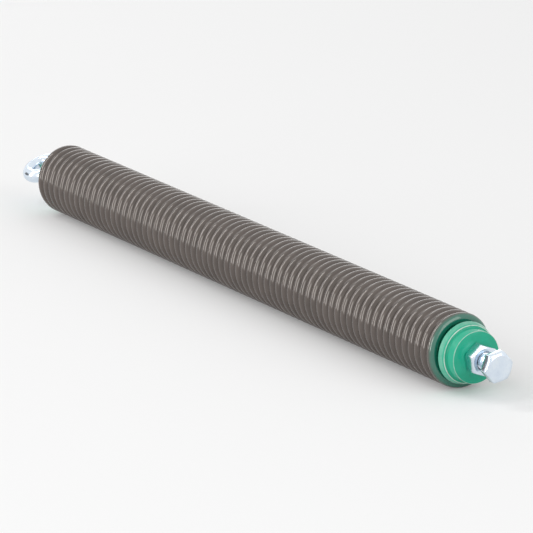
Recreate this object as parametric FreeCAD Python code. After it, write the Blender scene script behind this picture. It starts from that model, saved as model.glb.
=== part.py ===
import FreeCAD, Part
import math
import os

# Barrier arm spring: a close-wound coil with a screwed-in plug and a lock nut at each end. The front plug
# takes a hexagon bolt, and the rear plug takes an eye bolt.
# All sizes are in millimetres. X runs along the spring from its rear end to its front end, and Z is up.
# The origin is the middle of the eye's hole, where the rear anchor's pin goes through.

# Coil of round wire. Each turn is drawn with flats, and the flats' corners lie on the true round.
COIL_DIAMETER = 50.0
WIRE = 7.5
PITCH = 7.6
TURNS = 70
WIRE_END_ANGLE = 315.0      # where the wire is cut at both ends, in degrees from +Y towards +Z
FLATS_PER_TURN = 16
CROWN_SHARE = 0.5           # width of the outer flat, as a share of the wire

# End plugs, from the end of the coil outwards. Only the front one has a nose.
END_GAP = 0.3               # between the flange and the cut end of the wire
FLANGE_BACK_ROUND = 0.9
FLANGE_FRONT_ROUND = 0.35
FRONT_FLANGE_DIAMETER = 43.0
FRONT_FLANGE_LENGTH = 5.0
FRONT_FLANGE_TAPER = 1.9    # how much smaller the flange's radius is at its outer face
REAR_FLANGE_DIAMETER = 40.0
REAR_FLANGE_LENGTH = 3.0
REAR_FLANGE_TAPER = 1.0
NOSE_DIAMETER = 35.6
NOSE_LENGTH = 8.2
NOSE_ROOT_ROUND = 1.2
NOSE_EDGE_ROUND = 0.4
NUT_SEAT_DIAMETER = 23.0
NUT_SEAT_RISE = 1.2

# End plugs, from the end of the coil inwards
SPIGOT_DIAMETER = 34.0
SPIGOT_LENGTH = 34.0
SPIGOT_CHAMFER = 1.5
RIB_TURNS = 3
RIB_HEIGHT = 1.7
RIB_ROOT_WIDTH = 3.0
RIB_TOP_WIDTH = 0.9
RIB_SUNK = 0.7              # how far the rib's root lies inside the spigot

# M12 fasteners
THREAD = 12.0
THREAD_ROOM = 0.05          # radial, between the bolt and the holes that take it
ACROSS_FLATS = 19.0
BOLT_LENGTH = 55.0
BOLT_TIP_CHAMFER = 1.2
HEAD_HEIGHT = 7.5
WASHER_FACE_DIAMETER = 17.2
WASHER_FACE_HEIGHT = 0.5
NUT_HEIGHT = 10.0
NUT_COUNTERSINK = 0.8
FORK_GAP = 9.5              # bare shank between the front nut and the head
CORNER_CHAMFER_ANGLE = 30.0
HEAD_FACE_DIAMETER = 16.6   # round end face that the corner chamfer leaves
NUT_FACE_DIAMETER = 18.0
HEAD_CORNER_ANGLE = 10.0    # where a corner of each hexagon points, from +Y towards +Z
NUT_CORNER_ANGLE = 39.0

# Eye of the rear bolt, a ring of round bar with a drilled hole
EYE_RADIUS = 11.0           # to the middle of the bar
EYE_BAR = 10.0
EYE_BORE = 13.0
EYE_TILT = 23.0             # of the ring about the axis, from level, as the spring lies
EYE_TO_COIL = 30.0          # from the middle of the hole to the end of the coil
EYE_SHANK_END = 57.0        # from the middle of the hole to the end of the shank

CUT_ROOM = 1.0              # how far a cutting cone reaches past the corners
TOLERANCE = 1e-6

AXIS = FreeCAD.Vector(1, 0, 0)
UP = FreeCAD.Vector(0, 0, 1)
ORIGIN = FreeCAD.Vector(0, 0, 0)

COIL_LENGTH = TURNS * PITCH + WIRE
COIL_START = EYE_TO_COIL
COIL_END = COIL_START + COIL_LENGTH
FRONT_SEAT = COIL_END + END_GAP + FRONT_FLANGE_LENGTH + NOSE_LENGTH + NUT_SEAT_RISE
FRONT_BEARING = FRONT_SEAT + NUT_HEIGHT + FORK_GAP
REAR_REACH = END_GAP + REAR_FLANGE_LENGTH


def polar(x, radius, degrees):
    """The point at x along the axis, and at a radius and an angle about it."""
    a = math.radians(degrees)
    return FreeCAD.Vector(x, radius * math.cos(a), radius * math.sin(a))


def flat_face(*corners):
    return Part.Face(Part.makePolygon([*corners, corners[0]]))


def flat_faces(a, b, c, d):
    """One face through four corners, or two where the corners don't lie in a plane."""
    if abs((b - a).cross(d - a).dot(c - a)) < TOLERANCE:
        return [flat_face(a, b, c, d)]
    return [flat_face(a, b, c), flat_face(a, c, d)]


def helical_bar(section, x, angle, turns):
    """A right-hand helix of flats. section lists (along the axis, radius) corners about x and angle."""
    rings = []
    for i in range(FLATS_PER_TURN + 1):
        share = i / FLATS_PER_TURN
        here = x + PITCH * share
        rings.append([polar(here + along, radius, angle + 360.0 * share) for along, radius in section])
    turn = []
    for ring, after in zip(rings, rings[1:]):
        for i in range(len(section)):
            turn += flat_faces(ring[i - 1], ring[i], after[i], after[i - 1])
    last = [corner + AXIS * (PITCH * turns) for corner in rings[0]]
    faces = [flat_face(*rings[0]), flat_face(*last)]
    for i in range(turns):
        faces += [face.translated(AXIS * (PITCH * i)) for face in turn]
    shell = Part.makeShell(faces)
    shell.sewShape()
    bar = Part.makeSolid(shell)
    if bar.Volume < 0:
        bar.reverse()
    return bar


def revolved(profile):
    """A solid of revolution about X from wire edges that close through the axis or round a ring."""
    return Part.Face(Part.Wire(profile)).revolve(ORIGIN, AXIS, 360)


def line(a, b):
    return Part.makeLine(FreeCAD.Vector(*a, 0), FreeCAD.Vector(*b, 0))


def outline(points):
    """Straight edges through (x, radius) points, closed."""
    return [line(a, b) for a, b in zip(points, points[1:] + points[:1])]


def hexagon(x, height, corner_angle):
    """A hexagonal bar along X with one corner at corner_angle."""
    radius = ACROSS_FLATS / math.sqrt(3)
    corners = [polar(x, radius, corner_angle + 60.0 * i) for i in range(6)]
    return Part.Face(Part.makePolygon(corners + corners[:1])).extrude(AXIS * height)


def chamfered(hexagon_bar, x0, x1, face_diameter, front_only):
    """The corners of a hexagon cut back by a cone at its front, or at both ends."""
    inner = face_diameter / 2
    outer = ACROSS_FLATS / math.sqrt(3) + CUT_ROOM
    depth = (outer - inner) * math.tan(math.radians(CORNER_CHAMFER_ANGLE))
    points = [(x0, 0), (x0, outer), (x1 - depth, outer), (x1, inner), (x1, 0)]
    if not front_only:
        points[1:2] = [(x0, inner), (x0 + depth, outer)]
    return hexagon_bar.common(revolved(outline(points)))


def make_coil():
    mean = (COIL_DIAMETER - WIRE) / 2
    half = WIRE / 2
    crown = half * CROWN_SHARE
    section = [
        (-crown, mean + half),
        (crown, mean + half),
        (half, mean),
        (0.0, mean - half),
        (-half, mean),
    ]
    return helical_bar(section, COIL_START + half, WIRE_END_ANGLE, TURNS)


def make_plug(flange_diameter, flange_length, taper, has_nose):
    """A plug at the front end: a spigot with a screw rib inside the coil, then the flange and the nose."""
    hole = THREAD / 2 + THREAD_ROOM
    spigot = SPIGOT_DIAMETER / 2
    flange = flange_diameter / 2
    nose = NOSE_DIAMETER / 2
    back = COIL_END + END_GAP
    front = back + flange_length
    tip = front + NOSE_LENGTH
    inner_end = back - SPIGOT_LENGTH
    points = [
        (inner_end, hole),
        (inner_end, spigot - SPIGOT_CHAMFER),
        (inner_end + SPIGOT_CHAMFER, spigot),
        (back, spigot),
        (back, flange),
        (front, flange - taper),
    ]
    rounds = [
        (back, flange, FLANGE_BACK_ROUND),
        (front, flange - taper, FLANGE_FRONT_ROUND),
    ]
    if has_nose:
        seat = tip + NUT_SEAT_RISE
        points += [(front, nose), (tip, nose), (seat, NUT_SEAT_DIAMETER / 2), (seat, hole)]
        rounds += [(front, nose, NOSE_ROOT_ROUND), (tip, nose, NOSE_EDGE_ROUND)]
    else:
        points += [(front, hole)]
    body = revolved(outline(points))
    for x, radius, size in rounds:
        body = body.makeFillet(size, [ring_edge(body, x, radius)])
    top = spigot + RIB_HEIGHT
    section = [
        (-RIB_ROOT_WIDTH / 2, spigot - RIB_SUNK),
        (-RIB_TOP_WIDTH / 2, top),
        (RIB_TOP_WIDTH / 2, top),
        (RIB_ROOT_WIDTH / 2, spigot - RIB_SUNK),
    ]
    groove = COIL_END - WIRE / 2 - PITCH / 2
    rib = helical_bar(section, groove - PITCH * RIB_TURNS, WIRE_END_ANGLE, RIB_TURNS)
    return body.fuse(rib).removeSplitter()


def ring_edge(body, x, radius):
    """The circular edge of a turned body at x and radius."""
    for edge in body.Edges:
        curve = edge.Curve
        if isinstance(curve, Part.Circle) and abs(curve.Center.x - x) < TOLERANCE:
            if abs(curve.Radius - radius) < TOLERANCE:
                return edge
    raise ValueError("no circular edge at %g, %g" % (x, radius))


def make_lock_nut(seat):
    """A hexagon nut from its seat on the plug forwards, chamfered at both ends."""
    front = seat + NUT_HEIGHT
    hole = THREAD / 2 + THREAD_ROOM
    mouth = hole + NUT_COUNTERSINK
    bar = hexagon(seat, NUT_HEIGHT, NUT_CORNER_ANGLE)
    nut = chamfered(bar, seat, front, NUT_FACE_DIAMETER, False)
    bore = revolved(outline([
        (seat, 0),
        (seat, mouth),
        (seat + NUT_COUNTERSINK, hole),
        (front - NUT_COUNTERSINK, hole),
        (front, mouth),
        (front, 0),
    ]))
    return nut.cut(bore)


def make_bolt(bearing):
    """A hexagon bolt with its bearing face at x, its head in front and its shank behind."""
    head_back = bearing + WASHER_FACE_HEIGHT
    head_front = bearing + HEAD_HEIGHT
    tip = bearing - BOLT_LENGTH
    shank = THREAD / 2
    washer_face = WASHER_FACE_DIAMETER / 2
    bar = hexagon(head_back, head_front - head_back, HEAD_CORNER_ANGLE)
    head = chamfered(bar, head_back, head_front, HEAD_FACE_DIAMETER, True)
    stem = revolved(outline([
        (tip, 0),
        (tip, shank - BOLT_TIP_CHAMFER),
        (tip + BOLT_TIP_CHAMFER, shank),
        (bearing, shank),
        (bearing, washer_face),
        (head_back, washer_face),
        (head_back, 0),
    ]))
    return head.fuse(stem).removeSplitter()


def make_eye_bolt():
    """A ring of round bar with a drilled hole, on a shank along the axis."""
    tilt = math.radians(EYE_TILT)
    through = FreeCAD.Vector(0, -math.sin(tilt), math.cos(tilt))
    ring = Part.makeTorus(EYE_RADIUS, EYE_BAR / 2, ORIGIN, through)
    shank = revolved(outline([
        (EYE_RADIUS, 0),
        (EYE_RADIUS, THREAD / 2),
        (EYE_SHANK_END - BOLT_TIP_CHAMFER, THREAD / 2),
        (EYE_SHANK_END, THREAD / 2 - BOLT_TIP_CHAMFER),
        (EYE_SHANK_END, 0),
    ]))
    drill = Part.makeCylinder(EYE_BORE / 2, 2 * EYE_BAR, through * -EYE_BAR, through)
    return ring.fuse(shank).cut(drill).removeSplitter()


def at_rear(piece):
    """A front piece turned round to the rear end, and about the axis to meet the wire's rear end."""
    middle = FreeCAD.Vector((COIL_START + COIL_END) / 2, 0, 0)
    turned = piece.copy()
    turned.rotate(middle, UP, 180)
    turned.rotate(middle, AXIS, 2 * WIRE_END_ANGLE - 180)
    return turned


pieces = {
    "coil_spring": make_coil(),
    "front_plug": make_plug(FRONT_FLANGE_DIAMETER, FRONT_FLANGE_LENGTH, FRONT_FLANGE_TAPER, True),
    "front_lock_nut": make_lock_nut(FRONT_SEAT),
    "front_bolt": make_bolt(FRONT_BEARING),
    "rear_plug": at_rear(make_plug(REAR_FLANGE_DIAMETER, REAR_FLANGE_LENGTH, REAR_FLANGE_TAPER, False)),
    "rear_lock_nut": at_rear(make_lock_nut(COIL_END + REAR_REACH)),
    "rear_bolt": make_eye_bolt(),
}

os.makedirs("parts", exist_ok=True)
for name, piece in pieces.items():
    piece.exportStep("parts/%s.step" % name)
    print(name, "valid", piece.isValid(), "solids", len(piece.Solids), "volume", round(piece.Volume, 1))
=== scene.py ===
import math

import bmesh
import bpy
from mathutils import Matrix, Vector
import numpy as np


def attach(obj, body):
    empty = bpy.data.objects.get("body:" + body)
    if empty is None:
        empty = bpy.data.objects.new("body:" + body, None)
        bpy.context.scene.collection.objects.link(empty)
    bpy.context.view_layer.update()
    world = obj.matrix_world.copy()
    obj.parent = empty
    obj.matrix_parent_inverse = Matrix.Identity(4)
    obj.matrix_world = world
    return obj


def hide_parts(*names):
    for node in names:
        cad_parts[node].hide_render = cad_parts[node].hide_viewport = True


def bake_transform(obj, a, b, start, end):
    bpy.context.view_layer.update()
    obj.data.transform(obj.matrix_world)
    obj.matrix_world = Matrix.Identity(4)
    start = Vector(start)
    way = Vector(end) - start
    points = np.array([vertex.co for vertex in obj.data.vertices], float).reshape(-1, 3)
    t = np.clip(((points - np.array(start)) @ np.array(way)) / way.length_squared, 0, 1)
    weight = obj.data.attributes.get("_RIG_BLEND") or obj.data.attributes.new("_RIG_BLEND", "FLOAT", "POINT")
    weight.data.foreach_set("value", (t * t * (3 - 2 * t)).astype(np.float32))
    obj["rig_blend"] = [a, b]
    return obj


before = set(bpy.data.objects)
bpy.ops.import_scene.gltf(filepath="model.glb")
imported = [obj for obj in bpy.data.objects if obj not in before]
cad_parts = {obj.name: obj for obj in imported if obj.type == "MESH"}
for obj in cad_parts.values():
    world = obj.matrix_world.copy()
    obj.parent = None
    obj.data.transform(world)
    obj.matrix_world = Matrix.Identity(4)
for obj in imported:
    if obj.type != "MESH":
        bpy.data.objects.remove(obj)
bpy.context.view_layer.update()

MM = 0.001

# Sizes of the spring in metres, the same as in the part's source
COIL_RADIUS = 25.0 * MM
WIRE = 7.5 * MM
PITCH = 7.6 * MM
TURNS = 70
WIRE_END_ANGLE = math.radians(315.0)
COIL_LENGTH = TURNS * PITCH + WIRE
COIL_START = 30.0 * MM
COIL_END = COIL_START + COIL_LENGTH
COIL_MIDDLE = (COIL_START + COIL_END) / 2

END_GAP = 0.3 * MM
FRONT_FLANGE_RADIUS = 21.5 * MM
FRONT_FLANGE_LENGTH = 5.0 * MM
FRONT_FLANGE_TAPER = 1.9 * MM
REAR_FLANGE_RADIUS = 20.0 * MM
REAR_FLANGE_LENGTH = 3.0 * MM
REAR_FLANGE_TAPER = 1.0 * MM
NOSE_RADIUS = 17.8 * MM
NOSE_LENGTH = 8.2 * MM
SEAT_RADIUS = 11.5 * MM
SEAT_RISE = 1.2 * MM
SPIGOT_RADIUS = 17.0 * MM
SPIGOT_LENGTH = 34.0 * MM
SPIGOT_CHAMFER = 1.5 * MM
RIB_TURNS = 3
RIB_HEIGHT = 1.7 * MM
RIB_ROOT_WIDTH = 3.0 * MM
RIB_TOP_WIDTH = 0.9 * MM
RIB_SUNK = 0.7 * MM

THREAD_RADIUS = 6.0 * MM
THREAD_ROOM = 0.05 * MM
THREAD_PITCH = 1.75 * MM
THREAD_DEPTH = 1.07 * MM
HOLE_RADIUS = THREAD_RADIUS + THREAD_ROOM
ACROSS_FLATS = 19.0 * MM
BOLT_LENGTH = 55.0 * MM
HEAD_HEIGHT = 7.5 * MM
WASHER_FACE_RADIUS = 8.6 * MM
WASHER_FACE_HEIGHT = 0.5 * MM
NUT_HEIGHT = 10.0 * MM
NUT_COUNTERSINK = 0.8 * MM
FORK_GAP = 9.5 * MM
HEAD_FACE_RADIUS = 8.3 * MM
NUT_FACE_RADIUS = 9.0 * MM
CORNER_SLOPE = math.tan(math.radians(30.0))
HEAD_CORNER_ANGLE = math.radians(10.0)
NUT_CORNER_ANGLE = math.radians(39.0)

EYE_RADIUS = 11.0 * MM
EYE_BAR = 10.0 * MM
EYE_BORE = 13.0 * MM
EYE_TILT = math.radians(23.0)
EYE_SHANK_END = 57.0 * MM

PLUG_BACK = COIL_END + END_GAP
FRONT_FLANGE_FACE = PLUG_BACK + FRONT_FLANGE_LENGTH
NOSE_TIP = FRONT_FLANGE_FACE + NOSE_LENGTH
FRONT_SEAT = NOSE_TIP + SEAT_RISE
REAR_SEAT = PLUG_BACK + REAR_FLANGE_LENGTH
BEARING = FRONT_SEAT + NUT_HEIGHT + FORK_GAP

# The rear pieces are made at the front end, and turned over to the rear end
ORIGIN = (0, 0, 0)
AXIS = Vector((1, 0, 0))
STILL = Matrix.Identity(4)
TO_REAR = (
    Matrix.Translation(AXIS * COIL_MIDDLE)
    @ Matrix.Rotation(2 * WIRE_END_ANGLE - math.pi, 4, "X")
    @ Matrix.Rotation(math.pi, 4, "Z")
    @ Matrix.Translation(-AXIS * COIL_MIDDLE)
)

# Points nearer than these are one point: on the seam of two turns, and elsewhere
SAME_ON_SEAM = 1e-6
SAME_POINT = 1e-7


# Mesh helpers

def smooth_step(value, low, high):
    share = min(max((value - low) / (high - low), 0.0), 1.0)
    return share * share * (3 - 2 * share)


def linked_object(name, data):
    item = bpy.data.objects.new(name, data)
    bpy.context.scene.collection.objects.link(item)
    return item


def mesh_of(name, bm):
    mesh = bpy.data.meshes.new(name)
    bm.to_mesh(mesh)
    return mesh


def finished_piece(name, bm, material, body, node, slot):
    """Makes a bmesh an object in place of a CAD node, which rides on a body if one is given."""
    bmesh.ops.recalc_face_normals(bm, faces=bm.faces)
    mesh = mesh_of(name, bm)
    bm.free()
    mesh.materials.append(material)
    piece = linked_object(name, mesh)
    if body:
        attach(piece, body)
    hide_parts(node)
    return piece


def rotate(bm, verts, angle, axis):
    bmesh.ops.rotate(bm, verts=verts, cent=ORIGIN, matrix=Matrix.Rotation(angle, 3, axis))


def verts_among(items):
    return [item for item in items if isinstance(item, bmesh.types.BMVert)]


def closed_outline(bm, points):
    """The corners and sides of a closed outline of (x, radius) points."""
    corners = [bm.verts.new((x, radius, 0)) for x, radius in points]
    sides = [bm.edges.new(pair) for pair in zip(corners, corners[1:] + corners[:1])]
    return corners, sides


def close_openings(bm):
    """Fills each open rim, and gives the new faces."""
    rims = [edge for edge in bm.edges if edge.is_boundary]
    return bmesh.ops.holes_fill(bm, edges=rims, sides=0)["faces"]


def round_edges(bm, edges, size, segments):
    bmesh.ops.bevel(
        bm, geom=edges, offset=size, offset_type="OFFSET", segments=segments,
        profile=0.5, affect="EDGES", material=-1,
    )


def spin_full(bm, geom, axis, steps):
    """Spins an outline once round an axis through the origin, and joins it to itself."""
    bmesh.ops.spin(
        bm, geom=geom, cent=ORIGIN, axis=axis, dvec=ORIGIN,
        angle=2 * math.pi, steps=steps, use_merge=True, use_duplicate=False,
    )
    bmesh.ops.remove_doubles(bm, verts=bm.verts, dist=SAME_POINT)


def spin_turns(bm, geom, pitch, steps, turns):
    """Spins an outline through one turn of a right-hand screw, then repeats the turn end to end."""
    bmesh.ops.spin(
        bm, geom=geom, cent=ORIGIN, axis=AXIS, dvec=AXIS * (pitch / steps),
        angle=2 * math.pi, steps=steps, use_merge=False, use_duplicate=False,
    )
    turn = bm.verts[:] + bm.edges[:] + bm.faces[:]
    for i in range(1, turns):
        copy = bmesh.ops.duplicate(bm, geom=turn)["geom"]
        bmesh.ops.translate(bm, verts=verts_among(copy), vec=AXIS * (pitch * i))
    bmesh.ops.remove_doubles(bm, verts=bm.verts, dist=SAME_ON_SEAM)


def unite(bm, other):
    """Unites a second closed mesh with the first into one skin, and frees it."""
    halves = []
    for half in (bm, other):
        bmesh.ops.recalc_face_normals(half, faces=half.faces)
        halves.append(linked_object("half", mesh_of("half", half)))
    other.free()
    union = halves[0].modifiers.new("union", "BOOLEAN")
    union.operation = "UNION"
    union.solver = "MANIFOLD"
    union.object = halves[1]
    evaluated = halves[0].evaluated_get(bpy.context.evaluated_depsgraph_get())
    united = bpy.data.meshes.new_from_object(evaluated)
    bm.clear()
    bm.from_mesh(united)
    meshes = [united] + [holder.data for holder in halves]
    for holder in halves:
        bpy.data.objects.remove(holder)
    for mesh in meshes:
        bpy.data.meshes.remove(mesh)


SHARP_ANGLE = math.radians(32)


def placed(bm, place):
    """Takes a piece to its place on the spring, with smooth faces and sharp corners."""
    bmesh.ops.transform(bm, matrix=place, verts=bm.verts)
    bmesh.ops.recalc_face_normals(bm, faces=bm.faces)
    for face in bm.faces:
        face.smooth = True
    for edge in bm.edges:
        edge.smooth = edge.calc_face_angle(0.0) < SHARP_ANGLE
    return bm


# Node helpers for the finishes

NOISE_ROUGHNESS = 0.55
NOISE_LOW = 0.3
NOISE_HIGH = 0.7
BUMP_DEPTH = 0.1 * MM


def new_finish(name):
    material = bpy.data.materials.new(name)
    material.use_nodes = True
    tree = material.node_tree
    return material, tree, tree.nodes["Principled BSDF"]


def add_node(tree, kind, settings=None, inputs=None, links=None):
    """A node with its settings, its own socket values, and links from other nodes' sockets."""
    node = tree.nodes.new(kind)
    for key, value in (settings or {}).items():
        setattr(node, key, value)
    for key, value in (inputs or {}).items():
        node.inputs[key].default_value = value
    for key, socket in (links or {}).items():
        tree.links.new(socket, node.inputs[key])
    return node


def object_place(tree):
    return add_node(tree, "ShaderNodeTexCoord").outputs["Object"]


def attribute(tree, name, output):
    return add_node(tree, "ShaderNodeAttribute", {"attribute_name": name}).outputs[output]


def combine(tree, operation, *values):
    """The result of a Math node. Numbers are set on its sockets, and other values are linked."""
    node = add_node(tree, "ShaderNodeMath", {"operation": operation})
    for socket, value in zip(node.inputs, values):
        if isinstance(value, float):
            socket.default_value = value
        else:
            tree.links.new(value, socket)
    return node.outputs["Value"]


def colour_ramp(tree, factor, stops):
    ramp = add_node(tree, "ShaderNodeValToRGB", links={"Fac": factor})
    elements = ramp.color_ramp.elements
    while len(elements) < len(stops):
        elements.new(0.5)
    for element, (place, colour) in zip(elements, stops):
        element.position = place
        element.color = (*colour, 1.0)
    return ramp.outputs["Color"]


def paint_over(tree, cover, under, colour):
    """One colour laid over another where cover is one."""
    return add_node(
        tree, "ShaderNodeMix", {"data_type": "RGBA"},
        {"B": (*colour, 1.0)}, {"Factor": cover, "A": under},
    ).outputs["Result"]


def fade(tree, value, low, high, start=0.0, end=1.0):
    """A smooth step from start, where the value is low, to end, where it is high."""
    return add_node(
        tree, "ShaderNodeMapRange", {"interpolation_type": "SMOOTHSTEP"},
        {"From Min": low, "From Max": high, "To Min": start, "To Max": end}, {"Value": value},
    ).outputs["Result"]


def spread(tree, value, low, high):
    """A noise value spread between two limits."""
    return add_node(
        tree, "ShaderNodeMapRange",
        inputs={"From Min": NOISE_LOW, "From Max": NOISE_HIGH, "To Min": low, "To Max": high},
        links={"Value": value},
    ).outputs["Result"]


def noise(tree, vector, scale, detail=3.0):
    return add_node(
        tree, "ShaderNodeTexNoise",
        inputs={"Scale": scale, "Detail": detail, "Roughness": NOISE_ROUGHNESS},
        links={"Vector": vector},
    ).outputs["Fac"]


def bump(tree, height, strength):
    return add_node(
        tree, "ShaderNodeBump",
        inputs={"Strength": strength, "Distance": BUMP_DEPTH},
        links={"Height": height},
    ).outputs["Normal"]


def link_finish(tree, shader, colour, roughness, normal):
    tree.links.new(colour, shader.inputs["Base Color"])
    tree.links.new(roughness, shader.inputs["Roughness"])
    tree.links.new(normal, shader.inputs["Normal"])


# The finishes. Each ramp's rows are a place on the ramp and a colour

WIRE_BROWNS = [
    (0.55, (0.044, 0.033, 0.028)),
    (0.78, (0.060, 0.045, 0.039)),
    (1.00, (0.076, 0.059, 0.051)),
]
WIRE_TINT = (1.0, 0.94, 0.89, 1.0)
OVERSPRAY_GREEN = (0.014, 0.165, 0.118)
STREAK_SHARE = 0.6
SPECKLE_SHARE = 0.35
PAINT_GREENS = [
    (0.30, (0.005, 0.350, 0.208)),
    (0.50, (0.006, 0.375, 0.226)),
    (0.70, (0.008, 0.400, 0.244)),
]
PAINT_SPECULAR = 0.42
# Pale colour laid on the plugs: painted highlights along the turned edges, partly worn paint, and a painted
# sheen on the flange's rim
PALE_HIGHLIGHT_AND_WEAR = (0.66, 0.76, 0.70)
ZINC_BLUES = [
    (0.30, (0.66, 0.74, 0.84)),
    (0.50, (0.71, 0.79, 0.88)),
    (0.70, (0.76, 0.83, 0.90)),
]

# Pale places of the plugs, painted highlights along the turned edges that stand partly for worn paint, and a
# painted sheen on the flange's rim: x, radius, how far the pale is full, how far it reaches, its strength
HIGHLIGHT_AND_WEAR_PLACES = [
    (FRONT_FLANGE_FACE, FRONT_FLANGE_RADIUS - FRONT_FLANGE_TAPER, 0.25 * MM, 0.60 * MM, 1.0),
    # A broad painted sheen along the middle of the front flange's tapered rim, not wear
    (PLUG_BACK + 2.0 * MM, FRONT_FLANGE_RADIUS - 0.8 * MM, 1.0 * MM, 2.6 * MM, 0.24),
    (NOSE_TIP, NOSE_RADIUS, 0.20 * MM, 0.50 * MM, 0.60),
    (
        2 * COIL_MIDDLE - REAR_SEAT, REAR_FLANGE_RADIUS - REAR_FLANGE_TAPER,
        0.25 * MM, 0.60 * MM, 0.80,
    ),
]


def make_wire_lacquer():
    """Dark brown lacquered wire with drawing streaks, and green overspray beside the plugs."""
    material, tree, shader = new_finish("wire_lacquer")
    solid = object_place(tree)
    streaks = noise(tree, attribute(tree, "wire_place", "Vector"), scale=2.2, detail=4.0)
    cloud = noise(tree, solid, scale=60.0)
    both = combine(tree, "MULTIPLY_ADD", streaks, STREAK_SHARE, cloud)
    brown = colour_ramp(tree, both, WIRE_BROWNS)
    speckle = noise(tree, solid, scale=900.0, detail=2.0)
    overspray = attribute(tree, "overspray", "Fac")
    edge = combine(tree, "MULTIPLY_ADD", speckle, SPECKLE_SHARE, overspray)
    cover = fade(tree, edge, low=0.15, high=1.25)
    link_finish(
        tree, shader,
        colour=paint_over(tree, cover, brown, OVERSPRAY_GREEN),
        roughness=spread(tree, streaks, low=0.07, high=0.13),
        normal=bump(tree, streaks, strength=0.06),
    )
    shader.inputs["Specular IOR Level"].default_value = 1.0
    shader.inputs["Specular Tint"].default_value = WIRE_TINT
    return material


def edge_highlight_and_wear(tree, solid):
    """How much pale is laid on: up to one at the painted highlights and worn edges, and zero away from them.
    """
    parts = add_node(tree, "ShaderNodeSeparateXYZ", links={"Vector": solid}).outputs
    across = add_node(
        tree, "ShaderNodeCombineXYZ", links={"Y": parts["Y"], "Z": parts["Z"]},
    ).outputs["Vector"]
    radius = add_node(
        tree, "ShaderNodeVectorMath", {"operation": "LENGTH"}, links={0: across},
    ).outputs["Value"]
    profile = add_node(
        tree, "ShaderNodeCombineXYZ", links={"X": parts["X"], "Y": radius},
    ).outputs["Vector"]
    most = None
    for x, edge_radius, full, reach, strength in HIGHLIGHT_AND_WEAR_PLACES:
        gap = add_node(
            tree, "ShaderNodeVectorMath", {"operation": "DISTANCE"},
            {1: (x, edge_radius, 0.0)}, {0: profile},
        ).outputs["Value"]
        pale_share = fade(tree, gap, low=full, high=reach, start=strength, end=0.0)
        most = combine(tree, "MAXIMUM", most, pale_share) if most else pale_share
    return most


def make_green_gloss():
    """Gloss green paint with a fine orange peel, pale painted highlights along the turned edges that are
    partly worn paint, and a painted sheen on the flange's rim.
    """
    material, tree, shader = new_finish("green_gloss_paint")
    solid = object_place(tree)
    green = colour_ramp(tree, noise(tree, solid, scale=90.0), PAINT_GREENS)
    patchy = spread(tree, noise(tree, solid, scale=260.0), low=0.45, high=1.0)
    # Pale painted highlights and wear, broken up by patchy noise
    highlight_and_wear = combine(tree, "MULTIPLY", edge_highlight_and_wear(tree, solid), patchy)
    link_finish(
        tree, shader,
        colour=paint_over(tree, highlight_and_wear, green, PALE_HIGHLIGHT_AND_WEAR),
        roughness=spread(tree, noise(tree, solid, scale=400.0), low=0.12, high=0.20),
        normal=bump(tree, noise(tree, solid, scale=900.0, detail=1.0), strength=0.05),
    )
    shader.inputs["Specular IOR Level"].default_value = PAINT_SPECULAR
    return material


def make_zinc_plate():
    """Bright blue-white zinc plate with a soft cloud in its gloss."""
    material, tree, shader = new_finish("bright_zinc_plate")
    solid = object_place(tree)
    link_finish(
        tree, shader,
        colour=colour_ramp(tree, noise(tree, solid, scale=220.0), ZINC_BLUES),
        roughness=spread(tree, noise(tree, solid, scale=500.0), low=0.14, high=0.22),
        normal=bump(tree, noise(tree, solid, scale=1600.0, detail=2.0), strength=0.05),
    )
    shader.inputs["Metallic"].default_value = 1.0
    return material


wire_lacquer = make_wire_lacquer()
green_gloss = make_green_gloss()
zinc_plate = make_zinc_plate()

# The coil

WIRE_SIDES = 20
STEPS_PER_TURN = 48
MEAN_RADIUS = COIL_RADIUS - WIRE / 2
WIRE_END_ROUND = 0.4 * MM
SMALL_ROUND_STEPS = 2
HELD_TURNS = 4
STREAK_STRETCH = 0.5

# Overspray: angles round the wire, and turns from the coil's end
FRONT_GREEN_FROM = math.radians(-10.0)
FRONT_GREEN_FULL = math.radians(65.0)
REAR_GREEN_FROM = math.radians(45.0)
REAR_GREEN_FULL = math.radians(110.0)
GREEN_TURNS_FROM = 1.1
GREEN_TURNS_FULL = 0.9


def wind_coil():
    """A circle of wire spun round the axis as a right-hand screw, with its cut ends closed."""
    bm = bmesh.new()
    section = bmesh.ops.create_circle(
        bm, cap_ends=False, segments=WIRE_SIDES, radius=WIRE / 2,
    )["verts"]
    bmesh.ops.translate(bm, verts=section, vec=(COIL_START + WIRE / 2, MEAN_RADIUS, 0))
    rotate(bm, section, WIRE_END_ANGLE, "X")
    spin_turns(bm, bm.verts[:] + bm.edges[:], PITCH, STEPS_PER_TURN, TURNS)
    rims = [edge for cap in close_openings(bm) for edge in cap.edges]
    round_edges(bm, rims, WIRE_END_ROUND, SMALL_ROUND_STEPS)
    for face in bm.faces:
        face.smooth = True
    return bm


def wire_turn(co):
    """Which turn a point is on, and its angle round the wire from outwards towards +X."""
    share = (math.atan2(co.z, co.y) - WIRE_END_ANGLE) / (2 * math.pi)
    along = (co.x - COIL_START - WIRE / 2) / PITCH
    turn = round(along - share) + share
    out = math.hypot(co.y, co.z) - MEAN_RADIUS
    return turn, math.atan2((along - turn) * PITCH, out)


def overspray_at(turn, angle):
    """How green the wire is: on the sides of the end turns that face the plugs."""
    front = smooth_step(angle, FRONT_GREEN_FROM, FRONT_GREEN_FULL)
    front *= smooth_step(turn, TURNS - GREEN_TURNS_FROM, TURNS - GREEN_TURNS_FULL)
    rear = smooth_step(-angle, REAR_GREEN_FROM, REAR_GREEN_FULL)
    rear *= smooth_step(-turn, -GREEN_TURNS_FROM, -GREEN_TURNS_FULL)
    return max(front, rear)


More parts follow.
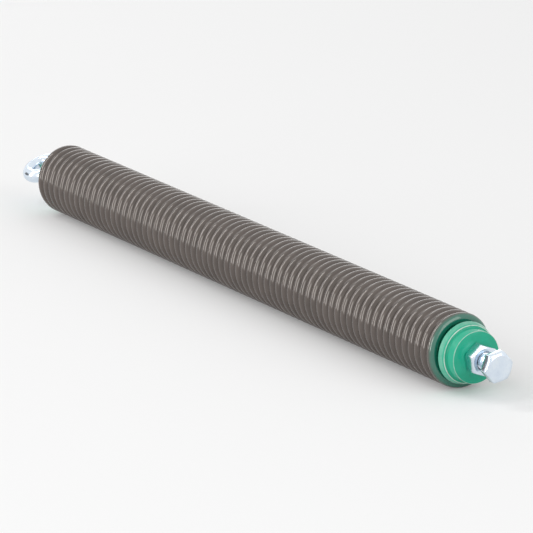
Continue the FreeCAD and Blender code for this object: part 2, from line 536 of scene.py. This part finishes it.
coil = finished_piece(
    "wound_coil", wind_coil(), wire_lacquer, None, "coil_spring", "spring_wire",
)
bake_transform(coil, "rear_end", "front_end", start=(COIL_START, 0, 0), end=(COIL_END, 0, 0))


def mark_coil():
    """Gives the wire's points their place for the finish, and their share of the motion."""
    wire_place = []
    overspray = []
    share_moved = []
    for vertex in coil.data.vertices:
        turn, angle = wire_turn(vertex.co)
        along = turn * 2 * math.pi * STREAK_STRETCH
        wire_place += [along, math.cos(angle), math.sin(angle)]
        overspray.append(overspray_at(turn, angle))
        share = (turn - HELD_TURNS) / (TURNS - 2 * HELD_TURNS)
        share_moved.append(min(max(share, 0.0), 1.0))
    marks = coil.data.attributes
    marks.new("wire_place", "FLOAT_VECTOR", "POINT")
    marks.new("overspray", "FLOAT", "POINT")
    marks["wire_place"].data.foreach_set("vector", wire_place)
    marks["overspray"].data.foreach_set("value", overspray)
    marks["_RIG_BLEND"].data.foreach_set("value", share_moved)


mark_coil()

# The plugs

TURNING_STEPS = 128
PLUG_ROUND_STEPS = 5
FLANGE_BACK_ROUND = 0.9 * MM
FLANGE_FACE_ROUND = 0.35 * MM
NOSE_ROOT_ROUND = 1.2 * MM
NOSE_TIP_ROUND = 0.4 * MM


def ring_edges(bm, x, radius):
    """The edges of one turned corner."""
    def on_corner(co):
        away = abs(math.hypot(co.y, co.z) - radius)
        return abs(co.x - x) < SAME_ON_SEAM and away < SAME_ON_SEAM
    return [edge for edge in bm.edges if all(on_corner(v.co) for v in edge.verts)]


def add_rib(bm):
    """The screw-shaped rib of the spigot, which sits in the groove between the turns."""
    top = SPIGOT_RADIUS + RIB_HEIGHT
    root = SPIGOT_RADIUS - RIB_SUNK
    start = COIL_END - WIRE / 2 - PITCH / 2 - PITCH * RIB_TURNS
    rib = bmesh.new()
    corners, sides = closed_outline(rib, [
        (start - RIB_ROOT_WIDTH / 2, root),
        (start - RIB_TOP_WIDTH / 2, top),
        (start + RIB_TOP_WIDTH / 2, top),
        (start + RIB_ROOT_WIDTH / 2, root),
    ])
    rotate(rib, corners, WIRE_END_ANGLE, "X")
    spin_turns(rib, corners + sides, PITCH, STEPS_PER_TURN, RIB_TURNS)
    close_openings(rib)
    unite(bm, rib)


def turned_plug(flange_radius, flange_length, taper, has_nose, place):
    """A spigot with its rib and a tapered flange, and on the front plug a nose and nut seat."""
    bm = bmesh.new()
    inner = PLUG_BACK - SPIGOT_LENGTH
    face = PLUG_BACK + flange_length
    face_radius = flange_radius - taper
    points = [
        (inner, HOLE_RADIUS),
        (inner, SPIGOT_RADIUS - SPIGOT_CHAMFER),
        (inner + SPIGOT_CHAMFER, SPIGOT_RADIUS),
        (PLUG_BACK, SPIGOT_RADIUS),
        (PLUG_BACK, flange_radius),
        (face, face_radius),
    ]
    rounds = [
        (PLUG_BACK, flange_radius, FLANGE_BACK_ROUND),
        (face, face_radius, FLANGE_FACE_ROUND),
    ]
    if has_nose:
        points += [
            (face, NOSE_RADIUS),
            (NOSE_TIP, NOSE_RADIUS),
            (FRONT_SEAT, SEAT_RADIUS),
            (FRONT_SEAT, HOLE_RADIUS),
        ]
        rounds += [
            (face, NOSE_RADIUS, NOSE_ROOT_ROUND),
            (NOSE_TIP, NOSE_RADIUS, NOSE_TIP_ROUND),
        ]
    else:
        points += [(face, HOLE_RADIUS)]
    corners, sides = closed_outline(bm, points)
    spin_full(bm, corners + sides, AXIS, TURNING_STEPS)
    for x, radius, size in rounds:
        round_edges(bm, ring_edges(bm, x, radius), size, PLUG_ROUND_STEPS)
    add_rib(bm)
    return placed(bm, place)


# Nuts and bolts

HEX_STEPS = 72
HEX_ROUND = 0.22 * MM
HEX_EDGE_ANGLE = math.radians(20)
HEAD_INNER_SHARE = 0.9
THREAD_STEPS = 32
THREAD_ROOT = THREAD_RADIUS - THREAD_DEPTH

# One turn of the thread: share of its pitch, and radius
THREAD_OUTLINE = [
    (0.00, THREAD_ROOT),
    (0.20, THREAD_ROOT),
    (0.44, THREAD_RADIUS),
    (0.56, THREAD_RADIUS),
    (0.80, THREAD_ROOT),
    (1.00, THREAD_ROOT),
]


def set_ring(verts, shape):
    for v in verts:
        angle = math.atan2(v.co.z, v.co.y)
        x, radius = shape(angle)
        v.co = (x, radius * math.cos(angle), radius * math.sin(angle))


def first_ring(bm, corner_angle, shape):
    """The first ring of a piece with a hexagon, at points given by shape(angle)."""
    verts = bmesh.ops.create_circle(
        bm, cap_ends=False, segments=HEX_STEPS, radius=1.0,
    )["verts"]
    rotate(bm, verts, math.pi / 2, "Y")
    first = min(verts, key=lambda v: abs(math.atan2(v.co.z, v.co.y)))
    rotate(bm, verts, corner_angle - math.atan2(first.co.z, first.co.y), "X")
    set_ring(verts, shape)
    return bm.edges[:]


def next_ring(bm, edges, shape):
    """Extrudes a ring on to its next place along the outline."""
    made = bmesh.ops.extrude_edge_only(bm, edges=edges)["geom"]
    verts = verts_among(made)
    set_ring(verts, shape)
    new = set(verts)
    return [
        item for item in made
        if isinstance(item, bmesh.types.BMEdge) and set(item.verts) <= new
    ]


def skin_rings(bm, corner_angle, shapes):
    """Rings one after another, each extruded from the one before."""
    ring = first_ring(bm, corner_angle, shapes[0])
    for shape in shapes[1:]:
        ring = next_ring(bm, ring, shape)


def circle_at(x, radius):
    return lambda angle: (x, radius)


def hexagon_at(x, corner_angle, face_radius, chamfer):
    """A hexagon with its corners cut back by a cone: chamfer is 1 at a front, -1 at a back or 0."""
    def shape(angle):
        turned = (angle - corner_angle) % (math.pi / 3) - math.pi / 6
        radius = ACROSS_FLATS / 2 / math.cos(turned)
        return x - chamfer * (radius - face_radius) * CORNER_SLOPE, radius
    return shape


def soften_hexagon(bm, face_radius):
    """Small rounds along the hexagon's corners and round its chamfers."""
    chosen = []
    for edge in bm.edges:
        if len(edge.link_faces) == 2 and edge.calc_face_angle(0.0) > HEX_EDGE_ANGLE:
            reach = min(math.hypot(v.co.y, v.co.z) for v in edge.verts)
            if reach > face_radius - SAME_ON_SEAM:
                chosen.append(edge)
    round_edges(bm, chosen, HEX_ROUND, SMALL_ROUND_STEPS)


def lock_nut(seat, place):
    """A hexagon nut with its bore, from the seat forwards."""
    bm = bmesh.new()
    mouth = HOLE_RADIUS + NUT_COUNTERSINK
    front = seat + NUT_HEIGHT
    skin_rings(bm, NUT_CORNER_ANGLE, [
        circle_at(seat + NUT_COUNTERSINK, HOLE_RADIUS),
        circle_at(seat, mouth),
        circle_at(seat, NUT_FACE_RADIUS),
        hexagon_at(seat, NUT_CORNER_ANGLE, NUT_FACE_RADIUS, -1),
        hexagon_at(front, NUT_CORNER_ANGLE, NUT_FACE_RADIUS, 1),
        circle_at(front, NUT_FACE_RADIUS),
        circle_at(front, mouth),
        circle_at(front - NUT_COUNTERSINK, HOLE_RADIUS),
        circle_at(seat + NUT_COUNTERSINK, HOLE_RADIUS),
    ])
    bmesh.ops.remove_doubles(bm, verts=bm.verts, dist=SAME_POINT)
    soften_hexagon(bm, NUT_FACE_RADIUS)
    return placed(bm, place)


def add_thread(bm, start, end):
    """A rolled thread from start to end along the axis, closed at both ends."""
    first = start - THREAD_PITCH
    turns = math.ceil((end - start) / THREAD_PITCH) + 2
    shank = bmesh.new()
    groove = [
        shank.verts.new((first + share * THREAD_PITCH, radius, 0))
        for share, radius in THREAD_OUTLINE
    ]
    sides = [shank.edges.new(pair) for pair in zip(groove, groove[1:])]
    spin_turns(shank, groove + sides, THREAD_PITCH, THREAD_STEPS, turns)
    for x, normal in [(start, -AXIS), (end, AXIS)]:
        bmesh.ops.bisect_plane(
            shank, geom=shank.verts[:] + shank.edges[:] + shank.faces[:], dist=SAME_POINT,
            plane_co=AXIS * x, plane_no=normal, clear_outer=True,
        )
    close_openings(shank)
    unite(bm, shank)


def hexagon_bolt():
    """A hexagon head with its washer face, and a shank with a rolled thread."""
    bm = bmesh.new()
    back = BEARING + WASHER_FACE_HEIGHT
    front = BEARING + HEAD_HEIGHT
    skin_rings(bm, HEAD_CORNER_ANGLE, [
        circle_at(BEARING, WASHER_FACE_RADIUS),
        circle_at(back, WASHER_FACE_RADIUS),
        hexagon_at(back, HEAD_CORNER_ANGLE, HEAD_FACE_RADIUS, 0),
        hexagon_at(front, HEAD_CORNER_ANGLE, HEAD_FACE_RADIUS, 1),
        circle_at(front, HEAD_FACE_RADIUS),
        circle_at(front, HEAD_FACE_RADIUS * HEAD_INNER_SHARE),
    ])
    soften_hexagon(bm, HEAD_FACE_RADIUS)
    close_openings(bm)
    add_thread(bm, BEARING - BOLT_LENGTH, BEARING + WASHER_FACE_HEIGHT / 2)
    return placed(bm, STILL)


EYE_SIDES = 48
EYE_STEPS = 96


def eye_bolt():
    """A ring of round bar with a drilled hole, on a threaded shank."""
    bm = bmesh.new()
    bar = bmesh.ops.create_circle(
        bm, cap_ends=False, segments=EYE_SIDES, radius=EYE_BAR / 2,
    )["verts"]
    rotate(bm, bar, math.pi / 2, "X")
    bmesh.ops.translate(bm, verts=bar, vec=AXIS * EYE_RADIUS)
    for v in bar:
        v.co.x = max(v.co.x, EYE_BORE / 2)
    rotate(bm, bar, math.pi / EYE_STEPS, "Z")
    spin_full(bm, bm.verts[:] + bm.edges[:], (0, 0, 1), EYE_STEPS)
    rotate(bm, bm.verts, EYE_TILT, "X")
    add_thread(bm, EYE_RADIUS, EYE_SHANK_END)
    return placed(bm, STILL)


front_plug = turned_plug(
    FRONT_FLANGE_RADIUS, FRONT_FLANGE_LENGTH, FRONT_FLANGE_TAPER, True, STILL,
)
rear_plug = turned_plug(
    REAR_FLANGE_RADIUS, REAR_FLANGE_LENGTH, REAR_FLANGE_TAPER, False, TO_REAR,
)
front_nut = lock_nut(FRONT_SEAT, STILL)
rear_nut = lock_nut(REAR_SEAT, TO_REAR)

# Name, mesh, finish, body, CAD node and slot
for row in [
    ("front_plug_painted", front_plug, green_gloss, "front_end", "front_plug", "green_paint"),
    ("rear_plug_painted", rear_plug, green_gloss, "rear_end", "rear_plug", "green_paint"),
    ("front_nut_plated", front_nut, zinc_plate, "front_end", "front_lock_nut", "zinc_plate"),
    ("rear_nut_plated", rear_nut, zinc_plate, "rear_end", "rear_lock_nut", "zinc_plate"),
    ("front_bolt_plated", hexagon_bolt(), zinc_plate, "front_end", "front_bolt", "zinc_plate"),
    ("rear_eye_plated", eye_bolt(), zinc_plate, "rear_end", "rear_bolt", "zinc_plate"),
]:
    finished_piece(*row)

# Floor, light and camera

FLOOR_SIZE = 16.0
FLOOR_GREY = 0.74
FLOOR_GLOW = 0.14
SKY_LIGHT = 0.66
PAPER_ROUGHNESS = 0.9
WHITE = (1.0, 1.0, 1.0, 1.0)

# Name, direction from the spring, distance, width and length, brightness of its face, long axis
SOFTBOXES = [
    ("tall_box_left", (-0.54, -0.67, 0.51), 3.2, (0.36, 4.2), 11.5, (0, 0.68, 0.74)),
    ("box_beside_camera", (0.31, -0.88, 0.26), 2.6, (0.55, 1.7), 5.6, (0, 0, 1)),
    ("box_behind_right", (-0.85, 0.43, 0.29), 2.6, (0.5, 1.6), 1.9, (0.2, 0.8, -0.55)),
    ("box_in_front", (0.85, 0.25, 0.46), 2.6, (1.8, 1.8), 1.6, (0, 0, 1)),
]
CARD_DIRECTION = (-0.829, -0.559, 0.0)
CARD_DISTANCE = 2.2
CARD_SIZE = (1.1, 0.75)
CARD_GREY = 0.12

PICTURE = 533
CAMERA_AZIMUTH = math.radians(58.82)
CAMERA_ELEVATION = math.radians(15.38)
CAMERA_DISTANCE = 3667 * MM
CAMERA_FOCUS_PX = 5279.0
CAMERA_SIDE = 9.77 * MM
CAMERA_RISE = -4.9 * MM
CAMERA_AHEAD = 0.8 * MM
CAMERA_REACH = 100.0
SENSOR = 36.0


def add_light_path(tree):
    """One where a ray comes from the camera, or by a reflection or through glass."""
    path = add_node(tree, "ShaderNodeLightPath")
    seen = path.outputs["Is Camera Ray"]
    for name in ("Is Glossy Ray", "Is Transmission Ray"):
        seen = combine(tree, "MAXIMUM", seen, path.outputs[name])
    return seen


def paper_sheet(name, bm, grey):
    """A plain matt sheet for the studio, with its node tree and shader."""
    mesh = mesh_of(name, bm)
    bm.free()
    material, tree, shader = new_finish(name)
    shader.inputs["Base Color"].default_value = (grey, grey, grey, 1.0)
    shader.inputs["Roughness"].default_value = PAPER_ROUGHNESS
    mesh.materials.append(material)
    return linked_object(name, mesh), tree, shader


def lay_floor():
    bm = bmesh.new()
    bmesh.ops.create_grid(bm, x_segments=2, y_segments=2, size=FLOOR_SIZE / 2)
    bmesh.ops.translate(bm, verts=bm.verts, vec=(COIL_MIDDLE, 0, -COIL_RADIUS))
    floor, tree, shader = paper_sheet("pale_floor", bm, FLOOR_GREY)
    shader.inputs["Specular IOR Level"].default_value = 0.0
    shader.inputs["Emission Color"].default_value = WHITE
    glow = combine(tree, "MULTIPLY", add_light_path(tree), FLOOR_GLOW)
    tree.links.new(glow, shader.inputs["Emission Strength"])


def light_world():
    """A white studio, which lights the spring less than it shows."""
    world = bpy.data.worlds.new("white_studio")
    bpy.context.scene.world = world
    world.use_nodes = True
    tree = world.node_tree
    level = add_node(
        tree, "ShaderNodeMapRange", inputs={"To Min": SKY_LIGHT, "To Max": 1.0},
        links={"Value": add_light_path(tree)},
    )
    background = tree.nodes["Background"]
    tree.links.new(level.outputs["Result"], background.inputs["Strength"])
    background.inputs["Color"].default_value = WHITE


def softbox(name, direction, distance, size, radiance, long_axis):
    """A rectangular lamp that shines on the spring's middle."""
    lamp = bpy.data.lights.new(name, "AREA")
    lamp.shape = "RECTANGLE"
    lamp.size, lamp.size_y = size
    lamp.energy = radiance * math.pi * size[0] * size[1]
    box = linked_object(name, lamp)
    back = Vector(direction).normalized()
    box.location = AXIS * COIL_MIDDLE + back * distance
    across = Vector(long_axis).cross(back).normalized()
    turn = Matrix((across, back.cross(across), back)).transposed()
    box.rotation_mode = "QUATERNION"
    box.rotation_quaternion = turn.to_quaternion()
    box.visible_camera = False


def hang_card():
    """A grey card that only reflections show, upright on the floor and facing the spring."""
    bm = bmesh.new()
    bmesh.ops.create_grid(bm, x_segments=1, y_segments=1, size=0.5)
    bmesh.ops.scale(bm, verts=bm.verts, vec=(*CARD_SIZE, 1.0))
    up = Vector((0, 0, 1))
    out = Vector(CARD_DIRECTION).normalized()
    stand = Matrix((out.cross(up), up, out)).transposed().to_4x4()
    place = AXIS * COIL_MIDDLE + out * CARD_DISTANCE + up * (CARD_SIZE[1] / 2 - COIL_RADIUS)
    bmesh.ops.transform(bm, matrix=Matrix.Translation(place) @ stand, verts=bm.verts)
    card, _, _ = paper_sheet("grey_card_left", bm, CARD_GREY)
    card.visible_camera = False
    card.visible_diffuse = False
    card.visible_shadow = False


def place_camera():
    """The camera that was fitted to the photo."""
    sin_a, cos_a = math.sin(CAMERA_AZIMUTH), math.cos(CAMERA_AZIMUTH)
    sin_e, cos_e = math.sin(CAMERA_ELEVATION), math.cos(CAMERA_ELEVATION)
    back = Vector((sin_a * cos_e, -cos_a * cos_e, sin_e))
    right = Vector((cos_a, sin_a, 0))
    up = back.cross(right)
    data = bpy.data.cameras.new("photo_camera")
    data.sensor_width = SENSOR
    data.lens = CAMERA_FOCUS_PX * SENSOR / PICTURE
    data.clip_end = CAMERA_REACH
    camera = linked_object("photo_camera", data)
    aim = AXIS * (COIL_MIDDLE + CAMERA_AHEAD) + right * CAMERA_SIDE + up * CAMERA_RISE
    turn = Matrix((right, up, back)).transposed().to_4x4()
    camera.matrix_world = Matrix.Translation(aim + back * CAMERA_DISTANCE) @ turn
    bpy.context.scene.camera = camera


lay_floor()
light_world()
for row in SOFTBOXES:
    softbox(*row)
hang_card()
place_camera()
bpy.context.scene.view_settings.view_transform = "Standard"
